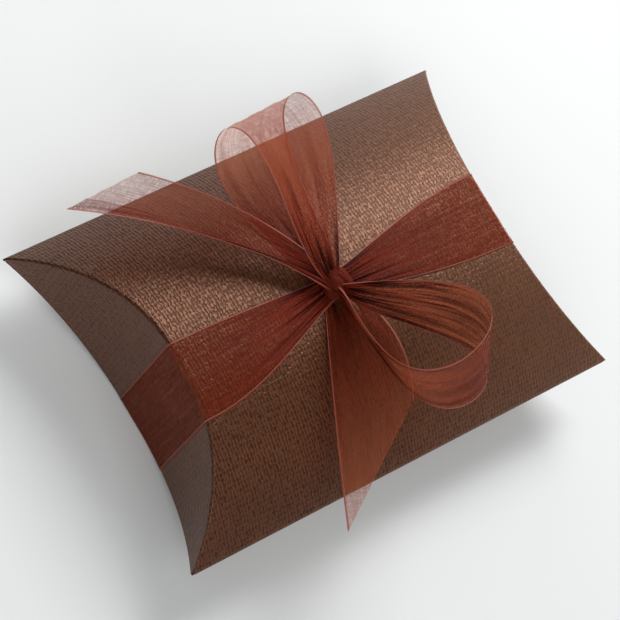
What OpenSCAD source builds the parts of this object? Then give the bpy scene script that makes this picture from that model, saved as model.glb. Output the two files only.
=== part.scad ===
// Pillow favour box of brown embossed card, tied lengthwise with a sheer ribbon and a bow.
// Frame: origin on the floor under the middle of the box, X along the box, Y across it, +Z up.
// The box lies on its lower panel. The long folded edges run along X, the closed ends face -X and +X.

/* [Card box] */
// Length of the box between the tips of its ends
box_l = 98; // [80:1:160]
// Width between the two folded edges
box_w = 65; // [60:1:72]
// Height over the crowns of the two panels
box_h = 26; // [22:0.5:30]
// Thickness of the card
card_t = 0.4; // [0.3:0.05:0.6]
// Width of the flat strip along the crown of each panel
crown_w = 5; // [3:0.5:8]
// Share of the end's height that the tuck flap inside covers
tuck_share = 0.55; // [0.4:0.05:0.8]
// Width of the glued seam tab along the near folded edge
seam_w = 10; // [6:0.5:14]

/* [Ribbon round the box] */
// Width of the ribbon
ribbon_w = 15; // [12:0.5:18]
// Thickness of the ribbon
ribbon_t = 0.25; // [0.15:0.05:0.4]
// Where the ribbon's middle crosses the left end
left_y = -4; // [-6:0.5:6]
// Where the ribbon's middle crosses the right end
right_y = 0.5; // [-6:0.5:6]
// Length of the stretch under the box that gives way as a flap opens
turn_l = 12; // [10:1:16]

/* [Bow] */
// Diameter of the knot
knot_d = 5.2; // [4:0.2:7]
// Height of the knot over the box
knot_h = 4; // [3:0.2:5]
// Knot's place along the box
knot_x = -2.1; // [-4:0.1:4]
// Width of the gathered ribbon where it enters the knot
gather_w = 4; // [3:0.2:5]

/* [Upper loop] */
// Direction of the loop seen from above, in degrees from +X
upper_az = 93; // [88:1:98]
// Slope of the loop above level, in degrees
upper_lift = 12; // [10:1:16]
// Length of the loop from the knot's middle
upper_l = 31; // [27:0.5:34]
// Opening of the loop between its two legs
upper_gape = 17; // [14:0.5:19]
// Lean of the ribbon's width about the loop's line, in degrees
upper_roll = 6; // [0:1:12]
// Turn of each leg of the loop, in degrees
upper_twist = 9; // [0:1:12]
// How far the loop's end curls up
upper_rise = 4.5; // [2:0.5:6]

/* [Lower loop] */
// Direction of the loop seen from above, in degrees from +X
lower_az = -76; // [-82:1:-70]
// Slope of the loop above level, in degrees
lower_lift = 26; // [24:1:30]
// Length of the loop from the knot's middle
lower_l = 30; // [27:0.5:33]
// Opening of the loop between its two legs
lower_gape = 15.5; // [13:0.5:17]
// Lean of the ribbon's width about the loop's line, in degrees
lower_roll = 82; // [76:1:90]
// Turn of each leg of the loop, in degrees
lower_twist = 15; // [0:1:18]
// How far the loop's end curls up
lower_rise = 1.5; // [0:0.5:3]

/* [Tails] */
// Tip of the upper tail on its near edge, from the knot's middle
upper_tip_near = [-38.9, 32.4, -0.5];
// Tip of the upper tail on its far edge, from the knot's middle
upper_tip_far = [-20.4, 34.3, -4.5];
// Bulge of the upper tail's near edge away from a straight line
upper_bow_near = [1.6, 0.8, 2.6];
// Bulge of the upper tail's far edge away from a straight line
upper_bow_far = [2.3, 1.3, 1.3];
// Depth to which the upper tail's middle sags below its edges
upper_sag = 3; // [0:0.5:4]
// Tip of the lower tail on its left edge, from the knot's foot
lower_tip_left = [-22.3, -39.7, -1.75];
// Corner of the lower tail's slanted cut on its right edge, from the knot's foot
lower_tip_right = [2.9, -24.4, -1.15];
// Bulge of the lower tail's left edge away from a straight line
lower_bow_left = [-0.6, 0, 0.4];
// Bulge of the lower tail's right edge away from a straight line
lower_bow_right = [4, 0, 0.2];

/* [Hidden] */
// Depth to which the folded edges are pressed flat, half of it on each side of the middle plane
edge_h = card_t;
half_l = box_l / 2;
half_w = box_w / 2;
half_h = box_h / 2;
mid_z = ribbon_t + half_h;
top_z = mid_z + half_h;
// Arc of a panel on each side of its crown strip
crown_y = crown_w / 2;
arc_run = half_w - crown_y;
arc_rise = half_h - edge_h;
arc_r = (pow(arc_run, 2) + pow(arc_rise, 2)) / (2 * arc_rise);
arc_mid = half_h - arc_r;
arc_a = asin(arc_run / arc_r);
arc_steps = 14;
// Distance from the box's middle to the middle of an end's crease
crease_x = half_l - arc_rise;
// Play between an outer flap and the tuck flap behind it, measured along the box
tuck_gap = 0.9;
// Play between an outer flap's free edge and the ribbon's turn
lip_gap = 0.3;
// Air between the card and the ribbon that lies on it
lay_gap = 0.02;
// What the flaps lack at the pointed tips
tip_gap = 0.4;
tuck_tip_gap = 3;
// Length of cutters that reach past everything
reach = box_l;
// Half height of the opening to which a loop's legs spread at the knot
neck = 0.7;
knot_y = -0.1;
// Heights over the box at which the loops and the upper tail, and the lower tail, leave the knot
knot_lift = 2.25;
tail_lift = 0.5;
knot = [knot_x, knot_y, top_z + knot_lift];
knot_foot = [knot_x, knot_y, top_z + tail_lift];
// Share of the knot's width that its foot has
foot_share = 0.8;
// Shifts of the two loops' roots from the knot's middle
upper_root = [-0.5, 1, 0];
lower_root = [-0.4, -1.3, 0];
// Share of a leg over which the ribbon opens to its full width
opening_share = 0.4;
// Share of the gape that the widest place of a loop has on each side
gape_share = 0.77;
gather_power = 1.2;
// Rows along a loop or tail, and strips across it
loop_rows = 36;
tail_rows = 16;
strips = 4;
nudge = 0.002;
cocoa = "#5c3a28";
cocoa_dark = "#4a2c1c";
rust = "#9a5238";
blush = "#d8b0a6";

// Half height of a panel's surface at y, at an inset from the outer face
function arc_h(y, inset = 0) =
    arc_mid + sqrt(pow(arc_r - inset, 2) - pow(max(abs(y) - crown_y, 0), 2));

// Points [y, height] over a panel from -Y to +Y, along an arc of the given radius
function arc_points(r) = concat(
    [for (i = [arc_steps:-1:0]) [-crown_y - r * sin(arc_a * i / arc_steps),
        arc_mid + r * cos(arc_a * i / arc_steps)]],
    [for (i = [0:arc_steps]) [crown_y + r * sin(arc_a * i / arc_steps),
        arc_mid + r * cos(arc_a * i / arc_steps)]]);

function reversed(list) = [for (i = [len(list) - 1:-1:0]) list[i]];

// Extrudes a [y, z] outline along the box
module along_box(length) {
    rotate([90, 0, 90]) linear_extrude(length, center = true) children();
}

// Half shell of card with a flat foot on the middle plane
module card_profile(r_out, r_in) {
    foot_y = crown_y + r_in * sin(arc_a);
    polygon(concat([[-foot_y, 0], [-half_w, 0]], arc_points(r_out),
        [[half_w, 0], [foot_y, 0]], reversed(arc_points(r_in))));
}

// Ribbon lying on a panel
module ribbon_profile() {
    polygon(concat(arc_points(arc_r + ribbon_t), reversed(arc_points(arc_r + lay_gap))));
}

// Everything on the end's side of the fold along the curved crease of the upper left end
module end_side(shift = 0) {
    fold = [for (p = arc_points(arc_r)) [sqrt(2) * (p[1] - edge_h), p[0]]];
    translate([-half_l + shift, 0, mid_z + edge_h]) rotate([0, -45, 0])
        linear_extrude(reach, center = true)
            polygon(concat([[-reach, -box_w], [0, -box_w]], fold, [[0, box_w], [-reach, box_w]]));
}

// The same for the crease of the lower left end
module low_end_side(shift = 0) {
    translate([0, 0, 2 * mid_z]) mirror([0, 0, 1]) end_side(shift);
}

// Upright curved wall of the left end between two distances behind the outer face
module end_wall(front, back) {
    near = [for (p = arc_points(arc_r + front)) [p[1] - half_l - edge_h, p[0]]];
    far = [for (p = arc_points(arc_r + back)) [p[1] - half_l - edge_h, p[0]]];
    translate([0, 0, mid_z]) linear_extrude(reach, center = true)
        polygon(concat(near, reversed(far)));
}

// Space above the lower crease's height, raised by a gap
module above_crease(gap) {
    along_box(2 * box_l)
        translate([0, mid_z + gap])
            polygon(concat([[-box_w, 0]], [for (p = arc_points(arc_r)) [p[0], -p[1]]],
                [[box_w, 0], [box_w, box_h], [-box_w, box_h]]));
}

// Space under a share of the end's height
module below_share(share) {
    along_box(2 * box_l)
        translate([0, mid_z])
            polygon(concat([[-box_w, 0]],
                [for (p = arc_points(arc_r)) [p[0], p[1] * (2 * share - 1)]],
                [[box_w, 0], [box_w, -box_h], [-box_w, -box_h]]));
}

// Band of the ribbon's width across the left end
module left_band(y) {
    translate([-half_l, y, mid_z]) cube([box_l, ribbon_w, 2 * box_h], center = true);
}

module to_right() {
    mirror([1, 0, 0]) children();
}

// Upper panel: a shallow arch of card with both ends cut along the curved creases
module top_panel() {
    color(cocoa) difference() {
        translate([0, 0, mid_z]) along_box(box_l) card_profile(arc_r, arc_r - card_t);
        end_side();
        to_right() end_side();
    }
}

// Lower panel: the same arch hanging down, its ends set in behind the outer flaps
module bottom_panel() {
    color(cocoa_dark) difference() {
        translate([0, 0, mid_z]) mirror([0, 0, 1])
            along_box(box_l) card_profile(arc_r, arc_r - card_t);
        low_end_side(tuck_gap);
        to_right() low_end_side(tuck_gap);
    }
}

// Tab glued to the inside of the lower panel along the near folded edge
module seam_tab() {
    tab_y = -half_w + 2 * card_t;
    tab_l = 2 * (half_l - arc_h(tab_y + seam_w) - 2 * tuck_gap);
    color(cocoa_dark) intersection() {
        translate([0, 0, mid_z]) mirror([0, 0, 1]) along_box(tab_l)
            card_profile(arc_r - card_t, arc_r - 2 * card_t);
        translate([0, tab_y + seam_w / 2, mid_z])
            cube([box_l, seam_w, box_h], center = true);
    }
}

// Closed end as seen from outside: a curved flap hinged on the upper panel's crease
module outer_flap() {
    color(cocoa_dark) intersection() {
        end_wall(0, card_t);
        end_side();
        above_crease(lip_gap);
        translate([0, 0, mid_z])
            cube([2 * box_l, box_w - 2 * tip_gap, 2 * box_h], center = true);
    }
}

// Flap behind it, hinged on the lower panel's crease
module tuck_flap() {
    color(cocoa_dark) intersection() {
        translate([tuck_gap, 0, 0]) end_wall(0, card_t);
        low_end_side(tuck_gap);
        below_share(tuck_share);
        translate([0, 0, mid_z])
            cube([2 * box_l, box_w - 2 * tuck_tip_gap, 2 * box_h], center = true);
    }
}

module left_outer_flap() {
    outer_flap();
}

module right_outer_flap() {
    to_right() outer_flap();
}

module left_tuck_flap() {
    tuck_flap();
}

module right_tuck_flap() {
    to_right() tuck_flap();
}

// Ribbon flat under the box, between the two stretches that give way
module ribbon_base() {
    base_x = crease_x - turn_l;
    color(rust) intersection() {
        translate([0, 0, mid_z]) mirror([0, 0, 1]) along_box(2 * base_x) ribbon_profile();
        linear_extrude(box_h)
            polygon([[-crease_x, left_y - ribbon_w / 2], [crease_x, right_y - ribbon_w / 2],
                [crease_x, right_y + ribbon_w / 2], [-crease_x, left_y + ribbon_w / 2]]);
    }
}

// Ribbon from under the box round the lower crease to the flap's free edge
module ribbon_turn(y, other_y) {
    start_x = crease_x - turn_l;
    start_y = y + (other_y - y) * turn_l / (2 * crease_x);
    color(rust) union() {
        intersection() {
            difference() {
                translate([0, 0, mid_z]) mirror([0, 0, 1]) along_box(box_l) ribbon_profile();
                low_end_side();
            }
            linear_extrude(box_h)
                polygon([[-box_l, y - ribbon_w / 2], [-crease_x, y - ribbon_w / 2],
                    [-start_x, start_y - ribbon_w / 2], [-start_x, start_y + ribbon_w / 2],
                    [-crease_x, y + ribbon_w / 2], [-box_l, y + ribbon_w / 2]]);
        }
        difference() {
            intersection() {
                end_wall(-ribbon_t, -lay_gap);
                low_end_side();
                left_band(y);
            }
            above_crease(lip_gap);
        }
    }
}

module ribbon_left_turn() {
    ribbon_turn(left_y, right_y);
}

module ribbon_right_turn() {
    to_right() ribbon_turn(right_y, left_y);
}

// Ribbon lying on an outer flap
module ribbon_end(y) {
    color(rust) intersection() {
        end_wall(-ribbon_t, -lay_gap);
        end_side();
        above_crease(lip_gap);
        left_band(y);
    }
}

module ribbon_left_end() {
    ribbon_end(left_y);
}

module ribbon_right_end() {
    to_right() ribbon_end(right_y);
}

// Ribbon on the upper panel from the crease to the knot, drawn together as it goes
module ribbon_arm(side, y) {
    outline = [for (i = [0:12]) let (t = i / 12, g = pow(sin(90 * t), gather_power))
        [t * (crease_x - side * knot_x), knot_y + (y - knot_y) * g,
            gather_w / 2 + (ribbon_w - gather_w) / 2 * g]];
    color(rust) difference() {
        intersection() {
            translate([0, 0, mid_z]) along_box(box_l) ribbon_profile();
            linear_extrude(2 * box_h)
                polygon(concat(
                    [for (p = outline) [knot_x + side * p[0], p[1] + p[2]]],
                    [[side * box_l, y + ribbon_w / 2], [side * box_l, y - ribbon_w / 2]],
                    [for (p = reversed(outline)) [knot_x + side * p[0], p[1] - p[2]]]));
        }
        if (side < 0) end_side();
        if (side > 0) to_right() end_side();
        translate([knot_x, knot_y, 0]) cylinder(d = knot_d * foot_share, h = 2 * box_h, $fn = 48);
    }
}

module ribbon_left_arm() {
    ribbon_arm(-1, left_y);
}

module ribbon_right_arm() {
    ribbon_arm(1, right_y);
}

// Rounded lump of the knot, with a foot on the upper panel
module knot_lump() {
    r = knot_d / 2;
    translate([knot_x, knot_y, top_z]) rotate_extrude($fn = 48)
        polygon(concat([[0, 0], [r * foot_share, 0]],
            [for (a = [-50:10:80]) [r * pow(cos(a), 0.7), knot_h / 2 + knot_h / 2 * sin(a)]],
            [[0, knot_h]]));
}

module bow_knot() {
    color(rust) knot_lump();
}

// Thin closed sheet through a grid of points, thickened along the grid's normals
module sheet(points, normals) {
    rows = len(points);
    cols = len(points[0]);
    count = rows * cols;
    back = [for (i = [0:rows - 1]) for (j = [0:cols - 1])
        points[i][j] - normals[i][j] * ribbon_t / 2];
    front = [for (i = [0:rows - 1]) for (j = [0:cols - 1])
        points[i][j] + normals[i][j] * ribbon_t / 2];
    function at(i, j) = i * cols + j;
    faces = concat(
        [for (i = [0:rows - 2]) for (j = [0:cols - 2])
            [at(i, j), at(i + 1, j), at(i + 1, j + 1)]],
        [for (i = [0:rows - 2]) for (j = [0:cols - 2])
            [at(i, j), at(i + 1, j + 1), at(i, j + 1)]],
        [for (i = [0:rows - 2]) for (j = [0:cols - 2])
            [count + at(i, j), count + at(i + 1, j + 1), count + at(i + 1, j)]],
        [for (i = [0:rows - 2]) for (j = [0:cols - 2])
            [count + at(i, j), count + at(i, j + 1), count + at(i + 1, j + 1)]],
        [for (i = [0:rows - 2]) [at(i, 0), count + at(i, 0), count + at(i + 1, 0)]],
        [for (i = [0:rows - 2]) [at(i, 0), count + at(i + 1, 0), at(i + 1, 0)]],
        [for (i = [0:rows - 2]) let (j = cols - 1)
            [at(i, j), count + at(i + 1, j), count + at(i, j)]],
        [for (i = [0:rows - 2]) let (j = cols - 1)
            [at(i, j), at(i + 1, j), count + at(i + 1, j)]],
        [for (j = [0:cols - 2]) [at(0, j), count + at(0, j + 1), count + at(0, j)]],
        [for (j = [0:cols - 2]) [at(0, j), at(0, j + 1), count + at(0, j + 1)]],
        [for (j = [0:cols - 2]) let (i = rows - 1)
            [at(i, j), count + at(i, j), count + at(i, j + 1)]],
        [for (j = [0:cols - 2]) let (i = rows - 1)
            [at(i, j), count + at(i, j + 1), at(i, j + 1)]]);
    polyhedron(concat(back, front), faces);
}

function unit(v) = v / norm(v);

// Point of a loop at u along the ribbon from knot to knot, and v from -1 to 1 across it.
// p holds azimuth, lift, roll, length, gape, twist, rise and the shift of its root.
function loop_point(p, u, v) = let (
    line = [cos(p[0]) * cos(p[1]), sin(p[0]) * cos(p[1]), sin(p[1])],
    flat_side = [sin(p[0]), -cos(p[0]), 0],
    up = cross(flat_side, line),
    side = cos(p[2]) * flat_side + sin(p[2]) * up,
    rise = -sin(p[2]) * flat_side + cos(p[2]) * up,
    share = (1 - cos(360 * u)) / 2,
    open_share = min(max(min(u, 1 - u), 0) / opening_share, 1),
    half = gather_w / 2 - neck + (ribbon_w / 2 - gather_w / 2 + neck) * pow(sin(90 * open_share), 1.5),
    turn = -p[5] * sin(360 * u),
    spread = gape_share * p[4] * sin(360 * u) * share + neck * cos(180 * u))
    knot + p[7] + share * p[3] * line + spread * rise + p[6] * pow(share, 2) * [0, 0, 1]
        + v * half * (cos(turn) * side + sin(turn) * rise);

function loop_normal(p, u, v) = unit(cross(
    loop_point(p, u + nudge, v) - loop_point(p, u - nudge, v),
    loop_point(p, u, v + nudge) - loop_point(p, u, v - nudge)));

module loop_sheet(p) {
    grid = [for (i = [0:loop_rows]) [for (j = [0:strips]) [i / loop_rows, 2 * j / strips - 1]]];
    difference() {
        sheet([for (row = grid) [for (g = row) loop_point(p, g[0], g[1])]],
            [for (row = grid) [for (g = row) loop_normal(p, g[0], g[1])]]);
        knot_lump();
    }
}

// Loop towards the far side, lying with the ribbon's width along the box
module upper_loop() {
    color(rust) loop_sheet([upper_az, upper_lift, upper_roll, upper_l, upper_gape, upper_twist,
        upper_rise, upper_root]);
}

// Loop towards the near side, standing on the ribbon's edge
module lower_loop() {
    color(rust) loop_sheet([lower_az, lower_lift, lower_roll, lower_l, lower_gape, -lower_twist,
        lower_rise, lower_root]);
}

// Point of a tail's edge at u from the knot to the tip
function edge_point(root, tip, bow, u) = root + (tip - root) * u + bow * 4 * u * (1 - u);

// Point of a tail: e holds root, tip and bow of each edge, and the sag between them
function tail_point(e, u, v) =
    edge_point(e[0], e[1], e[2], u) * (1 - v) / 2 + edge_point(e[3], e[4], e[5], u) * (1 + v) / 2
        - e[6] * pow(4 * u * (1 - u), 2) * (1 - v * v) * [0, 0, 1];

function tail_normal(e, u, v) = unit(cross(
    tail_point(e, u + nudge, v) - tail_point(e, u - nudge, v),
    tail_point(e, u, v + nudge) - tail_point(e, u, v - nudge)));

module tail_sheet(e) {
    grid = [for (i = [0:tail_rows]) [for (j = [0:strips]) [i / tail_rows, 2 * j / strips - 1]]];
    difference() {
        sheet([for (row = grid) [for (g = row) tail_point(e, g[0], g[1])]],
            [for (row = grid) [for (g = row) tail_normal(e, g[0], g[1])]]);
        knot_lump();
    }
}

// Loose end towards the far side, passing over the far folded edge
module upper_tail() {
    color(blush) tail_sheet([knot - [gather_w / 2, gather_w / 4, 0], knot + upper_tip_near,
        upper_bow_near, knot + [gather_w / 3, gather_w / 4, 0], knot + upper_tip_far,
        upper_bow_far, upper_sag]);
}

// Loose end towards the near side, cut on a slant
module lower_tail() {
    color(rust) tail_sheet([knot_foot - [gather_w / 2, 0, 0], knot_foot + lower_tip_left,
        lower_bow_left, knot_foot + [gather_w / 2, 0, 0], knot_foot + lower_tip_right,
        lower_bow_right, 0]);
}

top_panel();
bottom_panel();
seam_tab();
left_outer_flap();
right_outer_flap();
left_tuck_flap();
right_tuck_flap();
ribbon_base();
ribbon_left_turn();
ribbon_right_turn();
ribbon_left_end();
ribbon_right_end();
ribbon_left_arm();
ribbon_right_arm();
bow_knot();
upper_loop();
lower_loop();
upper_tail();
lower_tail();
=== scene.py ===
import math
import bpy
import bmesh
import numpy as np
from mathutils import Matrix, Vector


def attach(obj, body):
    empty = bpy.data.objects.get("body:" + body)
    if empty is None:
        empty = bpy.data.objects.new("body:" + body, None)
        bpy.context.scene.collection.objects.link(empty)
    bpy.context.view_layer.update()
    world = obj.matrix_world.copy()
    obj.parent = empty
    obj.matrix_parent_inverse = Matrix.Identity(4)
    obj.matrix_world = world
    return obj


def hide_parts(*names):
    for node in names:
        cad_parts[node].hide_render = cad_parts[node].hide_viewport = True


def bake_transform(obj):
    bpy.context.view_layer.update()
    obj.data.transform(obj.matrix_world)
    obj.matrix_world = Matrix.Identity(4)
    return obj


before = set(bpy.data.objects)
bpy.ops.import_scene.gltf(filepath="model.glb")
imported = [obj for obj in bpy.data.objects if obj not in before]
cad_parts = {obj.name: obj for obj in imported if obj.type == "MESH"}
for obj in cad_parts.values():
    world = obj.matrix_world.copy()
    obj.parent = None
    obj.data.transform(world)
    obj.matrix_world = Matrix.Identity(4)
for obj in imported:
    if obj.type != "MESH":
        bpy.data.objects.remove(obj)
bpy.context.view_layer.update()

# Camera: a long lens at the photograph's own angle, in front of the left end and high above it,
# turned about its axis so that the box runs up to the right across a square picture.
lens_mm, film_mm = 203.2, 36
view_reach = 20                     # metres, past the far edge of the table
camera_pose = (                     # rows of its right, up and back axes and its place
    (0.7745073, 0.3741142, -0.5100755, -0.3240095),
    (-0.5130801, 0.8431737, -0.1606450, -0.1013348),
    (0.3699827, 0.3861303, 0.8449948, 0.5490438),
    (0, 0, 0, 1))

camera_data = bpy.data.cameras.new("photo_camera")
camera_data.lens = lens_mm
camera_data.sensor_width = film_mm
camera_data.clip_end = view_reach
camera = bpy.data.objects.new("photo_camera", camera_data)
bpy.context.scene.collection.objects.link(camera)
camera.matrix_world = Matrix(camera_pose)
bpy.context.scene.camera = camera
bpy.context.scene.view_settings.view_transform = "Standard"

# Table and light: a pale matt table in a small photo tent, with a pale sky all round. A soft lamp
# stands close over the right end, a wide one near on the left, and a weak one far behind.
table_white, table_side, table_matt = "#eef0ef", 8, 0.9
sky_white, sky_strength = "#f2f5f8", 0.25
lamps = (                           # name, place, power in watts, width and depth
    ("right_lamp", (0.275, 0.195, 0.400), 1.85, (0.20, 0.30)),
    ("far_lamp", (0.45, 0.75, 0.35), 1.00, (0.60, 0.60)),
    ("left_lamp", (-0.38, -0.62, 0.72), 5.2, (0.90, 0.90)))


def srgb(code):
    """A hex colour as linear red, green, blue and alpha."""
    parts = [int(code[i:i + 2], 16) / 255 for i in (1, 3, 5)]
    return [c / 12.92 if c <= 0.04045 else ((c + 0.055) / 1.055) ** 2.4 for c in parts] + [1]


def node(tree, kind, settings=None, inputs=None):
    """Adds a node with its settings. Inputs are values, or (node, output) pairs to link from."""
    made = tree.nodes.new(kind)
    for name, value in (settings or {}).items():
        setattr(made, name, value)
    for name, value in (inputs or {}).items():
        if isinstance(value, tuple) and isinstance(value[0], bpy.types.Node):
            tree.links.new(value[0].outputs[value[1]], made.inputs[name])
        else:
            made.inputs[name].default_value = value
    return made


def new_material(name):
    """An empty material and its tree."""
    made = bpy.data.materials.new(name)
    made.use_nodes = True
    made.node_tree.nodes.clear()
    return made, made.node_tree


world = bpy.data.worlds.new("tent")
bpy.context.scene.world = world
world.use_nodes = True
sky = world.node_tree.nodes["Background"]
sky.inputs["Color"].default_value = srgb(sky_white)
sky.inputs["Strength"].default_value = sky_strength

for name, place, power, size in lamps:
    lamp_data = bpy.data.lights.new(name, "AREA")
    lamp_data.energy = power
    lamp_data.shape = "RECTANGLE"
    lamp_data.size, lamp_data.size_y = size
    lamp = bpy.data.objects.new(name, lamp_data)
    bpy.context.scene.collection.objects.link(lamp)
    lamp.location = place
    lamp.rotation_euler = Vector(place).to_track_quat("Z", "Y").to_euler()

# A matt white laminate: it has hardly any gloss, so it shows the box's soft shadow and no more.
table_paint, tree = new_material("matt_laminate_table")
shader = node(tree, "ShaderNodeBsdfPrincipled", None,
              {"Base Color": srgb(table_white), "Roughness": table_matt})
node(tree, "ShaderNodeOutputMaterial", None, {"Surface": (shader, 0)})
bpy.ops.object.select_all(action="DESELECT")
bpy.ops.mesh.primitive_plane_add(size=table_side, location=(0, 0, 0))
table = bpy.context.object
table.name = "table"
table.data.materials.append(table_paint)

# Upper panel: the arched front of the folded blank, 0.4 mm board dyed brown and pressed with a
# linen grain. A flat strip runs along its crown, and its ends turn over the curved creases.
box_l, box_w, box_h = 0.098, 0.065, 0.026
card_t, ribbon_t, crown_w = 0.0004, 0.00025, 0.005
half_l, half_w, half_h = box_l / 2, box_w / 2, box_h / 2
mid_z = ribbon_t + half_h           # the box lies on the ribbon
crown_y = crown_w / 2
arc_rise = half_h - card_t
arc_r = ((half_w - crown_y) ** 2 + arc_rise ** 2) / (2 * arc_rise)
arc_mid = half_h - arc_r            # height of the arcs' centres, seen from the middle plane
corner_x = half_l + card_t          # where the upper creases' planes meet the middle plane
spare_l = 1.05 * box_l              # a panel's length before it is cut at its creases
fold_r = 0.0007                     # outer radius of the pressed creases
fold_mid = fold_r * 0.59            # from a crease's sharp corner in to the middle of its roll
edge_r = 0.0008                     # outer radius of the long folded edges
edge_a = math.acos(-arc_mid / (arc_r - edge_r))
edge_y = crown_y + (arc_r - edge_r) * math.sin(edge_a)
fold_steps, edge_steps, arc_steps = 5, 6, 26
upper_lip, lower_lip = 0.00022, 0.00002   # the near cut edges end this far from the middle plane
crease_mark_w = 0.0004                      # width of the rubbed line at the right end, and of the painted crease shade at the left, on each side of a crease
crisp = math.radians(32)            # edges that turn more than this stay sharp
touch = 1e-6                        # points closer than this are one
dm = 10                             # UVs are in decimetres of the flat blank or ribbon
mm = 100                            # so a pattern's scale is a number per mm times this
# Tan is the board's own colour. The darker and lighter colours are painted shade in the emboss
# dimples and painted light on its tops.
card_tan, card_dimple_shade, card_top_light = "#44210e", "#34190b", "#512b15"
# The pale tan is real rubbed wear on folds. The dark brown is painted shade along the left end's
# creases.
wear_tan, crease_shade_brown = "#9c7660", "#2a140b"


def arc_h(y):
    """Half height of the closed box at y."""
    return arc_mid + np.sqrt(arc_r ** 2 - np.maximum(np.abs(y) - crown_y, 0) ** 2)


def edit(obj, test=None):
    """Goes into edit mode on one object and selects its vertices that pass the test."""
    if bpy.context.object and bpy.context.object.mode == "EDIT":
        bpy.ops.object.mode_set(mode="OBJECT")
    bpy.ops.object.select_all(action="DESELECT")
    obj.select_set(True)
    bpy.context.view_layer.objects.active = obj
    bpy.ops.object.mode_set(mode="EDIT")
    bpy.ops.mesh.select_mode(type="VERT")
    bpy.ops.mesh.select_all(action="SELECT" if test is None else "DESELECT")
    if test is not None:
        shape = bmesh.from_edit_mesh(obj.data)
        for vert in shape.verts:
            vert.select_set(bool(test(vert.co)))
        shape.select_flush(True)
        bmesh.update_edit_mesh(obj.data)


def spin_edge(obj, test, steps, angle, centre, axis):
    """Sweeps an edge into an arched face about a centre line."""
    edit(obj, test)
    bpy.ops.mesh.spin(steps=steps, angle=angle, center=centre, axis=axis)


def cut(obj, place, outward, clear=True):
    """Cuts by a plane, and clears what lies on the plane's outward side."""
    edit(obj)
    bpy.ops.mesh.bisect(plane_co=place, plane_no=outward, clear_outer=clear)


def roll_edge(obj, test, radius, along, across):
    """Rolls an edge over an eighth of a turn: along is where it heads, across where it turns."""
    edit(obj, test)
    turns = [k * math.pi / 4 / fold_steps for k in range(fold_steps + 1)]
    for a, b in zip(turns, turns[1:]):
        step = radius * (Vector(along) * (math.sin(b) - math.sin(a))
                         + Vector(across) * (math.cos(a) - math.cos(b)))
        bpy.ops.mesh.extrude_edges_move(TRANSFORM_OT_translate={"value": step})


def finish_card(obj, inside, uv, wear):
    """Merges a card skin, gives it its thickness towards the inside, and keeps its blank's UVs."""
    edit(obj)
    bpy.ops.mesh.remove_doubles(threshold=touch)
    bpy.ops.mesh.normals_make_consistent(inside=False)
    bpy.ops.object.mode_set(mode="OBJECT")
    mesh = obj.data
    if sum(p.normal.dot(Vector(inside)) * p.area for p in mesh.polygons) > 0:
        edit(obj)
        bpy.ops.mesh.flip_normals()
        bpy.ops.object.mode_set(mode="OBJECT")
    while mesh.uv_layers:
        mesh.uv_layers.remove(mesh.uv_layers[0])
    layer = mesh.uv_layers.new(name="blank")
    wear_and_shade = mesh.attributes.new("wear", "FLOAT", "POINT")
    for loop in mesh.loops:
        layer.data[loop.index].uv = uv(mesh.vertices[loop.vertex_index].co)
    for vert in mesh.vertices:
        wear_and_shade.data[vert.index].value = wear(vert.co)
    wall = obj.modifiers.new("board", "SOLIDIFY")
    wall.thickness = card_t
    wall.offset = -1
    bpy.ops.object.modifier_apply(modifier=wall.name)
    bpy.ops.object.shade_smooth_by_angle(angle=crisp)
    obj.data.materials.append(linen_card)


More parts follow.
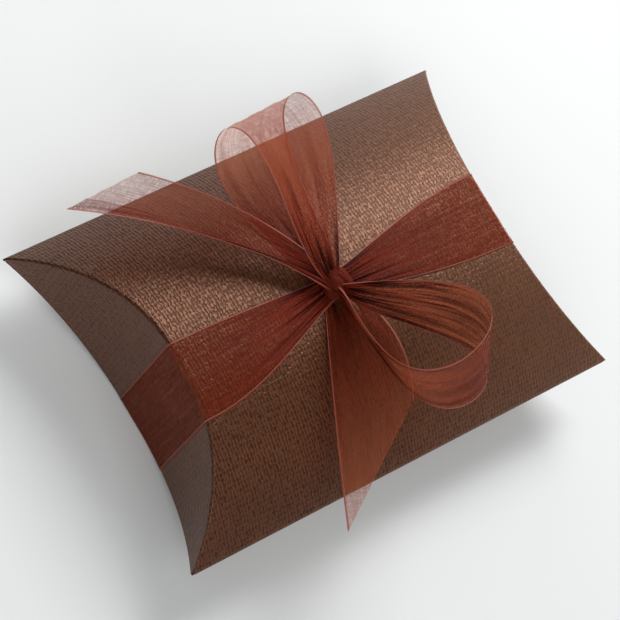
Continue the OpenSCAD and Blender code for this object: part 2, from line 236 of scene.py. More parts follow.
def card_material():
    """Linen-embossed board: dyed paper pressed between woven plates. The smooth tops catch a soft
    light and the dimples stay matt. The colour holds painted shade in the dimples and painted light
    on the tops. The folds are rubbed pale at the right end and carry painted crease shade at the
    left end."""
    warp_gap, weft_gap = 0.0070, 0.0100    # decimetres between the plates' threads
    wave = 0.314                    # a wave's period is this over its scale
    made, tree = new_material("linen_embossed_card")
    uv = node(tree, "ShaderNodeUVMap", {"uv_map": "blank"})
    # The plates' threads lie 0.7 mm apart along the box and 1.0 mm apart across it. Where two
    # hollows meet, a short dimple is left. Noise breaks the rows up, as in real linen.
    warp = node(tree, "ShaderNodeTexWave", {"bands_direction": "X"},
                {"Vector": (uv, 0), "Scale": wave / warp_gap, "Distortion": 5.0, "Detail": 2.0,
                 "Detail Scale": 2.2})
    weft = node(tree, "ShaderNodeTexWave", {"bands_direction": "Y"},
                {"Vector": (uv, 0), "Scale": wave / weft_gap, "Distortion": 5.0, "Detail": 2.0,
                 "Detail Scale": 3.0})
    slub_map = node(tree, "ShaderNodeMapping", None,
                    {"Vector": (uv, 0), "Scale": (1.5 * mm, 0.7 * mm, 1)})
    slub = node(tree, "ShaderNodeTexNoise", None,
                {"Vector": (slub_map, 0), "Scale": 1, "Detail": 2.0, "Roughness": 0.6})
    along = node(tree, "ShaderNodeMath", {"operation": "MULTIPLY"}, {0: (warp, 1), 1: 0.36})
    both = node(tree, "ShaderNodeMath", {"operation": "MULTIPLY_ADD"},
                {0: (weft, 1), 1: 0.22, 2: (along, 0)})
    rough = node(tree, "ShaderNodeMath", {"operation": "MULTIPLY_ADD"},
                 {0: (slub, 0), 1: 0.9, 2: (both, 0)})
    height = node(tree, "ShaderNodeMapRange", {"interpolation_type": "SMOOTHSTEP"},
                  {"Value": (rough, 0), "From Min": 0.45, "From Max": 0.95,
                   "To Min": 0, "To Max": 1})
    # Painted shade and painted light: the colour runs from dark in the dimples to light on the
    # tops, with the emboss height.
    tint = node(tree, "ShaderNodeValToRGB", None, {"Fac": (height, 0)})
    ramp = tint.color_ramp
    ramp.elements[0].color, ramp.elements[1].color = srgb(card_dimple_shade), srgb(card_top_light)
    ramp.elements.new(0.5).color = srgb(card_tan)
    # The dye took unevenly, in patches of about 8 mm.
    blotch_map = node(tree, "ShaderNodeMapping", None,
                      {"Vector": (uv, 0), "Scale": (0.12 * mm, 0.12 * mm, 1)})
    blotch = node(tree, "ShaderNodeTexNoise", None,
                  {"Vector": (blotch_map, 0), "Scale": 1, "Detail": 3})
    uneven = node(tree, "ShaderNodeMapRange", None,
                  {"Value": (blotch, 0), "From Min": 0.35, "From Max": 0.65,
                   "To Min": 0.86, "To Max": 1.10})
    dye_and_painted_shade = node(tree, "ShaderNodeVectorMath", {"operation": "SCALE"},
                {0: (tint, 0), "Scale": (uneven, 0)})
    wear_and_shade = node(tree, "ShaderNodeAttribute", {"attribute_name": "wear"})
    rubbed = node(tree, "ShaderNodeMath", {"operation": "MULTIPLY", "use_clamp": True},
                  {0: (wear_and_shade, "Fac"), 1: 0.6})
    # Painted shade: the left end's creases are darkened towards a shade brown.
    crease_shade_share = node(tree, "ShaderNodeMath", {"operation": "MULTIPLY", "use_clamp": True},
                   {0: (wear_and_shade, "Fac"), 1: -0.8})
    paler = node(tree, "ShaderNodeMix", {"data_type": "RGBA"},
                 {0: (rubbed, 0), 6: (dye_and_painted_shade, 0), 7: srgb(wear_tan)})
    colour = node(tree, "ShaderNodeMix", {"data_type": "RGBA"},
                  {0: (crease_shade_share, 0), 6: (paler, 2), 7: srgb(crease_shade_brown)})
    bump = node(tree, "ShaderNodeBump", None,
                {"Height": (height, 0), "Strength": 1.0, "Distance": 0.00006})
    # The pressed-in dimples stay matt, so they keep dark where the smooth tops shine.
    shine = node(tree, "ShaderNodeMapRange", None,
                 {"Value": (height, 0), "From Min": 0.1, "From Max": 0.9,
                  "To Min": 0.52, "To Max": 1.0})
    shader = node(tree, "ShaderNodeBsdfPrincipled", None,
                  {"Base Color": (colour, 2), "Roughness": 0.38, "Specular IOR Level": (shine, 0),
                   "Specular Tint": srgb("#ffc0a0"), "Normal": (bump, 0)})
    node(tree, "ShaderNodeOutputMaterial", None, {"Surface": (shader, 0)})
    return made


linen_card = card_material()


def arc_length(y):
    """Distance on the blank from its middle line, in decimetres."""
    run = min(abs(y) - crown_y, (arc_r - edge_r) * math.sin(edge_a) + edge_r)
    bend = arc_r * math.asin(min(run / arc_r, 1)) if run > 0 else run
    return math.copysign((crown_y + bend) * dm, y)


def crease_wear_and_shade(end, off):
    """Wear and shade this far off a crease's middle: above 0, rubbed pale, at the right end, and
    below 0, painted crease shade at the left one."""
    return end * max(0, 1 - abs(off) / crease_mark_w)


def panel(name, up, shift, lip):
    """Upper panel at up 1, lower at -1. Shift sets its ends in from the outer creases, and lip is
    where its near edge is cut."""
    corner = corner_x - shift
    bpy.ops.object.select_all(action="DESELECT")
    bpy.ops.mesh.primitive_plane_add(size=1, location=(0, 0, half_h))
    skin = bpy.context.object
    skin.name = name
    skin.scale = (spare_l, crown_w, 1)
    bpy.ops.object.transform_apply(location=True, rotation=True, scale=True)
    for side in (1, -1):
        spin_edge(skin, lambda co: abs(co.y - side * crown_y) < touch, arc_steps, side * edge_a,
                  (0, side * crown_y, arc_mid), (1, 0, 0))
        spin_edge(skin, lambda co: side * co.y > crown_y + arc_r * math.sin(edge_a) - touch,
                  edge_steps, side * (math.pi / 2 - edge_a), (0, side * edge_y, 0), (1, 0, 0))
    for end in (-1, 1):
        crease = end * (corner - fold_r)
        cut(skin, (crease, 0, 0), (end, 0, 1))
        roll_edge(skin, lambda co: abs(end * co.x + co.z - end * crease) < touch, fold_r,
                  (end, 0, 0), (0, 0, -1))
    cut(skin, (0, 0, 0), (0, 0, -1))
    edit(skin, lambda co: co.y < 0)
    bpy.ops.mesh.bisect(plane_co=(0, 0, lip), plane_no=(0, 0, -1), clear_outer=True)
    edit(skin)
    if up < 0:
        bpy.ops.transform.resize(value=(1, 1, -1), center_override=(0, 0, 0))
    bpy.ops.transform.translate(value=(0, 0, mid_z))
    finish_card(skin, (0, 0, -up), lambda co: (co.x * dm, arc_length(co.y)),
                lambda co: crease_wear_and_shade(math.copysign(1, co.x),
                                       corner - fold_mid - abs(co.z - mid_z) - abs(co.x)))
    return skin


upper_panel = panel("upper_panel", 1, 0, upper_lip)
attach(upper_panel, "box")
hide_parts("top_panel")

# Lower panel and seam tab: the back of the same blank, arched the other way and creased along the
# far edge. Its tab is glued inside the near edge, where the upper panel's cut edge shows as a line.
tuck_gap = 0.0009                   # the lower creases stand this far in, behind the outer flaps
seam_w, seam_gap = 0.010, 0.0009
tab_steps = 10
tab_strip = 0.0002                  # height of the strip that the tab is spun from
tab_y = -half_w + 2 * card_t
tab_end = half_l - arc_h(tab_y + seam_w) - seam_gap * 2
tab_r = arc_r - 1.05 * card_t       # just inside the panel
tab_a = math.asin((abs(tab_y) - crown_y) / tab_r)
tab_turn = tab_a - math.asin((abs(tab_y) - seam_w - crown_y) / tab_r)

lower_panel = panel("lower_panel", -1, tuck_gap, lower_lip)
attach(lower_panel, "box")
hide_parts("bottom_panel")

bpy.ops.object.select_all(action="DESELECT")
bpy.ops.mesh.primitive_plane_add(size=1, location=(0, tab_y, 0), rotation=(math.pi / 2, 0, 0))
seam_tab = bpy.context.object
seam_tab.name = "glued_seam_tab"
seam_tab.scale = (2 * tab_end, tab_strip, 1)
bpy.ops.object.transform_apply(location=True, rotation=True, scale=True)
edit(seam_tab, lambda co: co.z < 0)
bpy.ops.mesh.delete(type="VERT")
edit(seam_tab)
bpy.ops.transform.translate(value=(0, 0, -tab_r * math.cos(tab_a) - arc_mid - tab_strip / 2))
spin_edge(seam_tab, None, tab_steps, -tab_turn, (0, -crown_y, -arc_mid), (1, 0, 0))
edit(seam_tab)
bpy.ops.transform.translate(value=(0, 0, mid_z))
finish_card(seam_tab, (0, 0, 1), lambda co: (co.x * dm, arc_length(co.y)), lambda co: 0)
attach(seam_tab, "box")
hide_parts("seam_tab")

# Outer flaps: each closed end is a curved flap, scored along the upper panel's crease and pushed
# in so that it bows inwards and holds the panels apart. Its free edge rests on the lower crease.
flap_tip, lip_gap = 0.0004, 0.0003
spare_h = 1.2 * box_h               # a flap's height before it is cut
bend_rows = 12                      # rows of vertices cut across a flap below its crease


def flap(name, end, up, shift, tip, top_x, lean):
    """Flap of one end, scored at the upper crease at up 1 or the lower one at -1. A plane through
    top_x that leans this far cuts its free edge."""
    corner = corner_x - shift
    crease = end * (corner - fold_r)
    bpy.ops.object.select_all(action="DESELECT")
    bpy.ops.mesh.primitive_plane_add(size=1, location=(end * (corner - half_h), 0, 0),
                                     rotation=(0, math.pi / 2, 0))
    skin = bpy.context.object
    skin.name = name
    skin.scale = (spare_h, crown_w, 1)
    bpy.ops.object.transform_apply(location=True, rotation=True, scale=True)
    wall_a = math.asin((half_w - tip - crown_y) / arc_r)
    for side in (1, -1):
        spin_edge(skin, lambda co: abs(co.y - side * crown_y) < touch, arc_steps,
                  end * side * wall_a, (end * (corner - arc_mid), side * crown_y, 0), (0, 0, 1))
    cut(skin, (crease, 0, 0), (end, 0, 1))
    cut(skin, (top_x * end, 0, 0), (lean * end, 0, -1))
    for k in range(1, bend_rows):
        depth = math.sqrt(2) * box_h * k / bend_rows
        cut(skin, (crease - end * depth, 0, 0), (end, 0, 1), clear=False)
    roll_edge(skin, lambda co: abs(end * co.x + co.z - end * crease) < touch, fold_r,
              (0, 0, 1), (-end, 0, 0))
    edit(skin)
    if up < 0:
        bpy.ops.transform.resize(value=(1, 1, -1), center_override=(0, 0, 0))
    bpy.ops.transform.translate(value=(0, 0, mid_z))
    finish_card(skin, (-end, 0, 0),
                lambda co: (end * (corner + (half_h - up * (co.z - mid_z))) * dm, arc_length(co.y)),
                lambda co: crease_wear_and_shade(end, corner - fold_mid - up * (co.z - mid_z) - abs(co.x)))
    return skin


for end, side_name in ((-1, "left"), (1, "right")):
    outer = flap(side_name + "_flap_card", end, 1, 0, flap_tip, corner_x - lip_gap, 1)
    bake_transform(outer)
    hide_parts(side_name + "_outer_flap")

# Tuck flaps: a shorter flap inside each end, scored on the lower panel and standing behind the
# outer one. Only its edge shows, and only when that flap is opened.
tuck_tip, tuck_share = 0.003, 0.55
tuck_x = corner_x - tuck_gap

for end, side_name in ((-1, "left"), (1, "right")):
    tuck = flap(side_name + "_tuck_card", end, -1, tuck_gap, tuck_tip, tuck_x, 2 * tuck_share - 1)
    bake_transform(tuck)
    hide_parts(side_name + "_tuck_flap")

# Ribbon round the box: one length of 15 mm sheer polyester organza, woven with denser edges. It
# lies flat under the box, comes up over both closed ends, and runs on to the knot on top.
ribbon_w = 0.015
half_ribbon = ribbon_w / 2
crease_x = half_l - arc_rise
ends_y = {-1: -0.004, 1: 0.0005}    # where the ribbon's middle crosses the left and right end
turn_l = 0.012                      # length under the box of the stretch round a lower crease
lay = 0.00011                       # from the card to the middle of the ribbon
weave_t = 0.00008
corner_r = 0.0005                   # radius of the bend round the lower crease
columns = 48
base_rows, turn_rows, end_rows, corner_steps, crease_steps = 20, 24, 30, 6, 4
across = np.linspace(-1, 1, columns + 1)
# The deep rust is partly the denser cloth's own colour and partly painted shade in the folds. The
# darkest rust is painted shade between the tightest folds.
rust_face, rust_deep_and_shade, rust_pit_shade, rust_glow = "#8f311d", "#4a130c", "#1a0504", "#fa9466"
selvedge_pink = "#a0503f"


def organza_material():
    """Polyester organza: an open weave of clear filament. It filters what is behind it, glows red
    where light comes through from the back, and is dense only at its edges and where it bunches.
    Its folds are darkened with painted shade."""
    made, tree = new_material("polyester_organza")
    uv = node(tree, "ShaderNodeUVMap", {"uv_map": "weave"})
    # Real threads are 0.1 mm apart. They are drawn 0.35 mm apart, so that they show at this size.
    warp_map = node(tree, "ShaderNodeMapping", None,
                    {"Vector": (uv, 0), "Scale": (0.3 * mm, 3.0 * mm, 1)})
    warp = node(tree, "ShaderNodeTexNoise", None,
                {"Vector": (warp_map, 0), "Scale": 1, "Detail": 2})
    weft_map = node(tree, "ShaderNodeMapping", None,
                    {"Vector": (uv, 0), "Scale": (3.0 * mm, 0.5 * mm, 1)})
    weft = node(tree, "ShaderNodeTexNoise", None,
                {"Vector": (weft_map, 0), "Scale": 1, "Detail": 2})
    grain = node(tree, "ShaderNodeMath", {"operation": "ADD"}, {0: (warp, 0), 1: (weft, 0)})
    # Filaments that slip together under the knot's pull leave denser streaks along the ribbon.
    streak_map = node(tree, "ShaderNodeMapping", None,
                      {"Vector": (uv, 0), "Scale": (0.06 * mm, 1.1 * mm, 1)})
    streak = node(tree, "ShaderNodeTexNoise", None,
                  {"Vector": (streak_map, 0), "Scale": 1, "Detail": 2.5, "Roughness": 0.6,
                   "Distortion": 0.4})
    woven_as = node(tree, "ShaderNodeMath", {"operation": "MULTIPLY_ADD"},
                    {0: (streak, 0), 1: 0.9, 2: (grain, 0)})
    # The woven edge is the outermost 0.3 mm on each side.
    parts = node(tree, "ShaderNodeSeparateXYZ", None, {"Vector": (uv, 0)})
    out_by = node(tree, "ShaderNodeMath", {"operation": "ABSOLUTE"}, {0: (parts, 1)})
    edge = node(tree, "ShaderNodeMapRange", None,
                {"Value": (out_by, 0), "From Min": 0.0718, "From Max": 0.0726,
                 "To Min": 0, "To Max": 1})
    # What one layer lets through, to the power of the layers that lie on each other.
    layers = node(tree, "ShaderNodeAttribute", {"attribute_name": "layers"})
    clear = node(tree, "ShaderNodeMapRange", None,
                 {"Value": (woven_as, 0), "From Min": 1.15, "From Max": 1.75,
                  "To Min": 0.84, "To Max": 0.64})
    through = node(tree, "ShaderNodeMath", {"operation": "POWER"},
                   {0: (clear, 0), 1: (layers, "Fac")})
    open_edge = node(tree, "ShaderNodeMath", {"operation": "SUBTRACT"}, {0: 1.0, 1: (edge, 0)})
    hem = node(tree, "ShaderNodeMath", {"operation": "MULTIPLY_ADD"},
               {0: (open_edge, 0), 1: 0.65, 2: 0.35})
    opening = node(tree, "ShaderNodeMath", {"operation": "MULTIPLY"},
                   {0: (through, 0), 1: (hem, 0)})
    # Folds pressed together are coloured deeper, partly for the denser cloth and partly as painted
    # shade, and between the tightest ones painted shade turns them nearly black.
    bunched = node(tree, "ShaderNodeMapRange", None,
                   {"Value": (layers, "Fac"), "From Min": 1.0, "From Max": 3.0,
                    "To Min": 0.28, "To Max": 1.0})
    tight = node(tree, "ShaderNodeMapRange", None,
                 {"Value": (layers, "Fac"), "From Min": 2.6, "From Max": 5.0,
                  "To Min": 0, "To Max": 0.85})
    fold = node(tree, "ShaderNodeMapRange", {"interpolation_type": "SMOOTHSTEP"},
                {"Value": (streak, 0), "From Min": 0.38, "From Max": 0.58,
                 "To Min": 0, "To Max": 1})
    deep_and_fold_shade = node(tree, "ShaderNodeMath", {"operation": "MULTIPLY"}, {0: (bunched, 0), 1: (fold, 0)})
    dye_and_painted_shade = node(tree, "ShaderNodeMix", {"data_type": "RGBA"},
                {0: (deep_and_fold_shade, 0), 6: srgb(rust_face), 7: srgb(rust_deep_and_shade)})
    pit_shade_share = node(tree, "ShaderNodeMath", {"operation": "MULTIPLY"}, {0: (tight, 0), 1: (fold, 0)})
    pit_shaded = node(tree, "ShaderNodeMix", {"data_type": "RGBA"},
                  {0: (pit_shade_share, 0), 6: (dye_and_painted_shade, 2), 7: srgb(rust_pit_shade)})
    tint = node(tree, "ShaderNodeMix", {"data_type": "RGBA"},
                {0: (edge, 0), 6: (pit_shaded, 2), 7: srgb(selvedge_pink)})
    bump = node(tree, "ShaderNodeBump", None,
                {"Height": (woven_as, 0), "Strength": 0.5, "Distance": 0.00012})
    shine = node(tree, "ShaderNodeMath", {"operation": "MULTIPLY_ADD"},
                 {0: (edge, 0), 1: 0.55, 2: 0.08})
    front = node(tree, "ShaderNodeBsdfPrincipled", None,
                 {"Base Color": (tint, 2), "Roughness": 0.5, "Specular IOR Level": (shine, 0),
                  "Normal": (bump, 0)})
    # A single layer glows most. Its edges and its deep folds glow less.
    glow = node(tree, "ShaderNodeBsdfTranslucent", None, {"Color": srgb(rust_glow)})
    sheer = node(tree, "ShaderNodeMapRange", None,
                 {"Value": (layers, "Fac"), "From Min": 1.05, "From Max": 1.7,
                  "To Min": 0.78, "To Max": 0.26})
    thin = node(tree, "ShaderNodeMath", {"operation": "MULTIPLY_ADD"},
                {0: (edge, 0), 1: -0.50, 2: (sheer, 0)})
    shade = node(tree, "ShaderNodeMath", {"operation": "MULTIPLY_ADD", "use_clamp": True},
                 {0: (deep_and_fold_shade, 0), 1: -0.30, 2: (thin, 0)})
    cloth = node(tree, "ShaderNodeMixShader", None, {0: (shade, 0), 1: (front, 0), 2: (glow, 0)})
    gap = node(tree, "ShaderNodeBsdfTransparent")
    shader = node(tree, "ShaderNodeMixShader", None, {0: (opening, 0), 1: (cloth, 0), 2: (gap, 0)})
    node(tree, "ShaderNodeOutputMaterial", None, {"Surface": (shader, 0)})
    return made


organza = organza_material()


def woven(name, grid, layers=None):
    """A ribbon sheet through a grid of points, rows along the ribbon and columns across it."""
    rows, cols = grid.shape[:2]
    mesh = bpy.data.meshes.new(name)
    faces = [(i * cols + j, (i + 1) * cols + j, (i + 1) * cols + j + 1, i * cols + j + 1)
             for i in range(rows - 1) for j in range(cols - 1)]
    mesh.from_pydata(grid.reshape(-1, 3).tolist(), [], faces)
    step = np.linalg.norm(np.diff(grid, axis=0), axis=2)
    down = np.vstack([np.zeros(cols), np.cumsum(step, axis=0)]) * dm
    side = np.tile(np.linspace(-half_ribbon, half_ribbon, cols), (rows, 1)) * dm
    spots = np.stack([down, side], axis=2).reshape(-1, 2)
    layer = mesh.uv_layers.new(name="weave")
    layer.data.foreach_set("uv", spots[[l.vertex_index for l in mesh.loops]].ravel())
    stack = mesh.attributes.new("layers", "FLOAT", "POINT")
    count = np.ones((rows, cols)) if layers is None else np.broadcast_to(layers, (rows, cols))
    stack.data.foreach_set("value", count.astype(np.float32).ravel())
    made = bpy.data.objects.new(name, mesh)
    bpy.context.scene.collection.objects.link(made)
    mesh.materials.append(organza)
    bpy.ops.object.select_all(action="DESELECT")
    made.select_set(True)
    bpy.context.view_layer.objects.active = made
    wall = made.modifiers.new("cloth", "SOLIDIFY")
    wall.thickness = weave_t
    wall.offset = 0
    bpy.ops.object.modifier_apply(modifier=wall.name)
    bpy.ops.object.shade_smooth()
    return made


def band(end, t):
    """Rows under the box at shares t from the middle of the box to the lower crease of one end."""
    t = t[:, None]
    y = (1 - t) * (ends_y[-1] + ends_y[1]) / 2 + t * ends_y[end] + half_ribbon * across
    edge_x = corner_x - arc_h(ends_y[end] + half_ribbon * across)
    return np.stack([end * t * edge_x, y, mid_z - arc_h(y) - lay], axis=2)


def bent(end, up, centre_x, y, centre_z, radius, degrees):
    """Rows bent round an edge, above its centre at up 1 or below it at -1, after the first row."""
    turns = np.radians(degrees)[1:, None]
    return np.stack([end * (centre_x + (radius + lay) * np.sin(turns)),
                     np.broadcast_to(y, (len(turns), columns + 1)),
                     centre_z + up * (radius + lay) * np.cos(turns)], axis=2)


base_share = (crease_x - turn_l) / crease_x
left_rows = band(-1, np.linspace(base_share, 0, base_rows))
right_rows = band(1, np.linspace(0, base_share, base_rows))
ribbon_base = woven("organza_under_box", np.concatenate([left_rows, right_rows[1:]]))
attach(ribbon_base, "box")
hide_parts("ribbon_base")

for end, side_name in ((-1, "left"), (1, "right")):
    y = ends_y[end] + half_ribbon * across
    h = arc_h(y)
    edge_x = corner_x - h
    under = band(end, np.linspace(base_share, 1 - corner_r / crease_x, turn_rows))
    corner = bent(end, -1, edge_x - corner_r, y, mid_z - h + corner_r, corner_r,
                  np.linspace(0, 90, corner_steps + 1))
    turn = woven("organza_%s_turn" % side_name, np.concatenate([under, corner]))
    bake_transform(turn)
    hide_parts("ribbon_%s_turn" % side_name)

    up = np.linspace(0, 1, end_rows)[:, None]
    foot, head = mid_z - h + corner_r, mid_z + h - fold_r
    wall = np.stack([np.broadcast_to(end * (edge_x + lay), (end_rows, columns + 1)),
                     np.broadcast_to(y, (end_rows, columns + 1)), foot + up * (head - foot)],
                    axis=2)
    over = bent(end, 1, edge_x - fold_r, y, mid_z + h - fold_r, fold_r,
                np.linspace(90, 45, crease_steps + 1))
    strip = woven("organza_%s_end" % side_name, np.concatenate([wall, over]))
    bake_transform(strip)
    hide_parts("ribbon_%s_end" % side_name)

# Arms: the same ribbon on the upper panel, drawn together from its full width at the crease into
# a bunch of pleats at the knot.
gather_w = 0.004
knot_x, knot_y = -0.0021, -0.0001
knot_up = 0.00225                   # from the card to the middle of the knot
knot = np.array([knot_x, knot_y, mid_z + half_h + knot_up])
pleats = 3.5                        # broad ones across the ribbon, with finer ones on them
fine_pleats = 2.3                   # times as many
valley_most, valley_reach = 2.4, 14.0     # the reach, like those of the pleats, is in mm
arm_pleats = (10.0, 0.0011, 0.00003)    # reach, height at the knot in metres, height far from it
hump_h, hump_reach = 0.0012, 3.5    # the arms climb to the knot
arm_rows, arm_start = 70, 0.012


def wavy(u_mm, phase):
    """Height of the pleats across the ribbon, from 0 in a valley to 1 on a crest. Slow sines make
    their spacing uneven and let them wander."""
    v = across + 0.07 * np.sin(4 * across + phase) + 0.05 * np.sin(u_mm * 0.25 + phase)
    wave = 0.5 + 0.5 * np.cos(2 * np.pi * pleats * (v + 1) / 2 + phase)
    fine = 0.5 + 0.5 * np.cos(2 * np.pi * fine_pleats * pleats * (v + 1) / 2
                              + 2 * phase + 0.08 * u_mm)
    return 0.65 * wave + 0.35 * fine


def pleat(u_mm, phase, reach, tall, low):
    """Height of the pleats over the ribbon's own surface, dying out away from the knot."""
    return ((tall - low) * np.exp(-u_mm / reach) + low) * wavy(u_mm, phase)


def valley_density_and_shade(u_mm, phase):
    """How much denser the ribbon is counted in the valleys of its pleats. Through the material this
    also paints shade in those valleys.
    """
    return 1 + valley_most * np.exp(-u_mm / valley_reach) * (1 - wavy(u_mm, phase)) ** 2


for end, side_name in ((-1, "left"), (1, "right")):
    arm_l = crease_x - end * knot_x
    phase = 1.0 + end
    t = np.linspace(arm_start, 1, arm_rows)[:, None]
    spread = np.sin(np.pi / 2 * t) ** 1.2       # how far the gather has opened out
    y_end = ends_y[end] + half_ribbon * across
    h = arc_h(y_end)
    edge_x = corner_x - h - fold_r
    x = knot_x + t * (end * edge_x - knot_x)
    y = knot_y + (ends_y[end] - knot_y) * spread \
        + across * (gather_w / 2 + (ribbon_w - gather_w) / 2 * spread)
    run = t * arm_l * 1000
    z = mid_z + arc_h(y) + lay + pleat(run, phase, *arm_pleats) \
        + hump_h * np.exp(-(run / hump_reach) ** 2)
    over = bent(end, 1, edge_x, y_end, mid_z + h - fold_r, fold_r,
                np.linspace(0, 45, crease_steps + 1))
    layers = ribbon_w / (gather_w + (ribbon_w - gather_w) * spread) * valley_density_and_shade(run, phase)
    layers = np.vstack([layers, np.ones((crease_steps, columns + 1))])
    arm = woven("organza_%s_arm" % side_name,
                np.concatenate([np.stack([x, y, z], axis=2), over]), layers)
    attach(arm, "box")
    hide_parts("ribbon_%s_arm" % side_name)

# Loops: the two bights of the bow, each a leg out from the knot and a leg back. The upper one lies
# with the ribbon's width along the box, and the lower one stands on the ribbon's edge.
neck = 0.0007                       # half the gap between a loop's legs at the knot
loop_rows, loop_start = 110, 0.004
open_by = 0.4                       # share of the loop by which the ribbon has its full width
least_half = 0.0018
loop_pleats, loop_sink = (11.0, 0.0011, 0.00015), 0.0004
loops = (   # name, (azimuth, lift, roll, length, gape, twist, rise, root), phase, density; the lower loop's higher density also paints shade on it
    ("upper_loop", (93, 12, 6, 0.031, 0.017, 9, 0.0045, (-0.0005, 0.001, 0)), 0.6, 1.0),
    ("lower_loop", (-76, 26, 82, 0.030, 0.0155, -15, 0.0015, (-0.0004, -0.0013, 0)), 2.2, 1.6))


def steps_down(grid, column):
    """Lengths of the steps from row to row in one column of a grid."""
    return np.linalg.norm(np.diff(grid[:, column], axis=0), axis=1)


def loop_points(azimuth, lift, roll, length, gape, twist, rise, root):
    """A loop's grid, and how many layers its gathers make. Azimuth and lift say where it heads,
    roll turns it about its own line, and twist turns its legs, all in degrees. Rise lifts its
    bight, and root is where it leaves the knot."""
    u = np.linspace(loop_start, 1 - loop_start, loop_rows)[:, None]
    a, b, c = (math.radians(x) for x in (azimuth, lift, roll))
    line = np.array([math.cos(a) * math.cos(b), math.sin(a) * math.cos(b), math.sin(b)])
    flat_side = np.array([math.sin(a), -math.cos(a), 0])
    up = np.cross(flat_side, line)
    side = math.cos(c) * flat_side + math.sin(c) * up
    over = -math.sin(c) * flat_side + math.cos(c) * up
    share = (1 - np.cos(2 * np.pi * u)) / 2
    opened = np.clip(np.minimum(u, 1 - u) / open_by, 0, 1)
    half = gather_w / 2 - neck \
        + (half_ribbon - gather_w / 2 + neck) * np.sin(np.pi / 2 * opened) ** 1.5
    turn = -math.radians(twist) * np.sin(2 * np.pi * u)
    apart = 0.77 * gape * np.sin(2 * np.pi * u) * share + neck * np.cos(np.pi * u)
    place = (knot + np.array(root)) + (share * length)[..., None] * line \
        + apart[..., None] * over + (rise * share ** 2)[..., None] * np.array([0, 0, 1])
    out = np.cos(turn)[..., None] * side + np.sin(turn)[..., None] * over
    grid = place + (across * half)[..., None] * out
    return grid, half_ribbon / np.maximum(half, least_half)


def ruffle(grid, heights):
    """Moves a grid's points along its own normals."""
    normal = np.cross(np.gradient(grid, axis=0), np.gradient(grid, axis=1))
    normal = normal / np.linalg.norm(normal, axis=-1, keepdims=True)
    return grid + normal * heights[..., None]


for name, values, phase, density_and_shade in loops:
    grid, layers = loop_points(*values)
    steps = steps_down(grid, columns // 2)
    length = steps.sum()
    run = np.concatenate([[0], np.cumsum(steps)])
    from_knot = np.minimum(run, length - run)[:, None] * 1000
    grid = ruffle(grid, pleat(from_knot, phase, *loop_pleats) - loop_sink)
    loop = woven("organza_" + name, grid, layers * valley_density_and_shade(from_knot, phase) * density_and_shade)
    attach(loop, "box")
    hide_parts(name)

# Tails: the two cut ends. The upper one passes between the legs of the upper loop and over the far
# edge. The lower one hangs down the near slope and is cut on a slant.
tail_rows, tail_start = 80, 0.01
tail_mm = 45                        # a tail's rough length, over which its pleats die out
tail_pleats = (14.0, 0.0010, 0.00015)
least_w = 0.004
roll_from = -0.45                   # the upper tail's near edge is rolled under from here on
foot_up = 0.0005                    # the lower tail leaves the knot this far above the card
knot_foot = np.array([knot_x, knot_y, mid_z + half_h + foot_up])
tails = (   # name, start, phase, sag, then root, tip and bow in mm, of the one edge and the other
    ("upper_tail", knot, 1.5, 0.003,
     (-2.0, -1.0, 0), (-38.9, 32.4, -0.5), (1.6, 0.8, 2.6),
     (1.33, -1.0, 0), (-20.4, 34.3, -4.5), (2.3, 1.3, 1.3)),
    ("lower_tail", knot_foot, 3.0, 0.0,
     (-2.0, 0, 0), (-22.3, -39.7, -1.75), (-0.6, 0, 0.4),
     (2.0, 0, 0), (2.9, -24.4, -1.15), (4.0, 0, 0.2)))


def tail_points(root_a, tip_a, bow_a, root_b, tip_b, bow_b, sag):
    """A tail's grid between two bowed edges, sagging between them."""
    u = np.linspace(tail_start, 1, tail_rows)[:, None, None]
    v = across[None, :, None]
    a = root_a + (tip_a - root_a) * u + bow_a * 4 * u * (1 - u)
    b = root_b + (tip_b - root_b) * u + bow_b * 4 * u * (1 - u)
    grid = a * (1 - v) / 2 + b * (1 + v) / 2
    return grid - sag * (4 * u * (1 - u)) ** 2 * (1 - v ** 2) * np.array([0, 0, 1])


for name, start, phase, sag, *edges in tails:
    root_a, tip_a, bow_a, root_b, tip_b, bow_b = (np.array(edge) * 0.001 for edge in edges)
    grid = tail_points(start + root_a, start + tip_a, bow_a,
                       start + root_b, start + tip_b, bow_b, sag)
    widths = np.linalg.norm(grid[:, -1] - grid[:, 0], axis=1)
    layers = np.maximum(ribbon_w / np.maximum(widths, least_w), 1)[:, None]
    if name == "upper_tail":        # the roll makes that strip look almost two layers deep
        layers = layers * (1 + 0.9 * (across < roll_from))[None, :]
    run = np.linspace(0, 1, len(grid))[:, None] * tail_mm
    grid = ruffle(grid, -pleat(run, phase, *tail_pleats))
    tail_piece = woven("organza_" + name, grid, layers * valley_density_and_shade(run, phase))
    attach(tail_piece, "box")
    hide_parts(name)

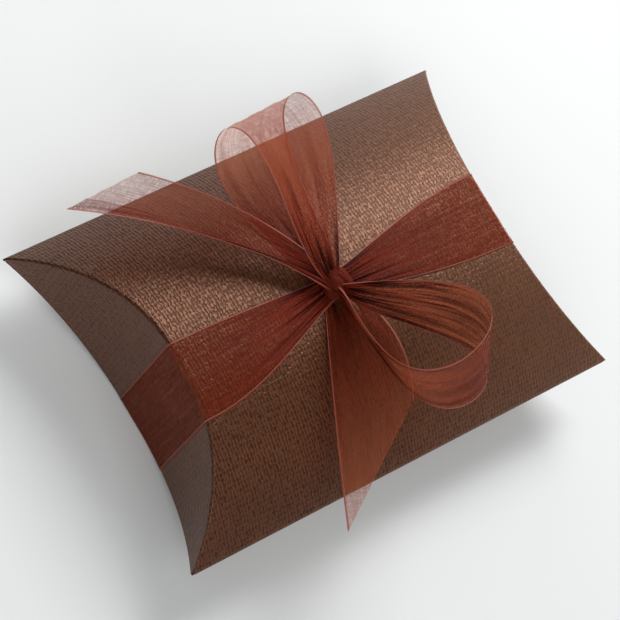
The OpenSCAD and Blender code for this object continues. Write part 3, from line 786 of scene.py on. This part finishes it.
# Knot: the ribbon's last turn round the gathered legs, pulled tight, so that it shows as a small
# lump of folds running across the box.
knot_rings, knot_sides = 48, 56
wide, tall, long = 0.0027, 0.0023, 0.0031   # half sizes
knot_sink = 0.0002
tilt = math.radians(14)
knot_down, knot_across = 0.10, 0.13         # decimetres of ribbon that are wound up in it
knot_layers = 2.2

s = np.linspace(-1, 1, knot_rings)[:, None]
a = np.linspace(0, 2 * np.pi, knot_sides + 1)[None, :]
folds = 0.13 * np.cos(6 * a + 1.6 * s) + 0.07 * np.cos(13 * a - 2.4 * s + 1.0)
swell = (1 - np.abs(s) ** 2.6) ** 0.5
radius = swell * (1 + folds * (1 - s ** 4))
x = wide * radius * np.cos(a)
z = tall * radius * np.sin(a)
y = long * s + 0.0002 * np.sin(2 * a)
turned_x = x * math.cos(tilt) - y * math.sin(tilt)
turned_y = x * math.sin(tilt) + y * math.cos(tilt)
grid = np.stack([knot_x + turned_x, knot_y + turned_y, knot[2] - knot_sink + z], axis=2)
mesh = bpy.data.meshes.new("organza_knot")
faces = [(i * knot_sides + j, i * knot_sides + (j + 1) % knot_sides,
          (i + 1) * knot_sides + (j + 1) % knot_sides, (i + 1) * knot_sides + j)
         for i in range(knot_rings - 1) for j in range(knot_sides)]
mesh.from_pydata(grid[:, :-1].reshape(-1, 3).tolist(), [], faces)
layer = mesh.uv_layers.new(name="weave")
for loop in mesh.loops:
    i, j = divmod(loop.vertex_index, knot_sides)
    layer.data[loop.index].uv = (i / knot_rings * knot_down,
                                 (0.5 - abs(j / knot_sides - 0.5) * 2) * knot_across)
stack = mesh.attributes.new("layers", "FLOAT", "POINT")
stack.data.foreach_set("value", np.full(knot_rings * knot_sides, knot_layers, np.float32))
knot_piece = bpy.data.objects.new("organza_knot", mesh)
bpy.context.scene.collection.objects.link(knot_piece)
mesh.materials.append(organza)
edit(knot_piece)
bpy.ops.mesh.remove_doubles(threshold=touch)
bpy.ops.mesh.normals_make_consistent(inside=False)
bpy.ops.object.mode_set(mode="OBJECT")
bpy.ops.object.shade_smooth()
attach(knot_piece, "box")
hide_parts("bow_knot")
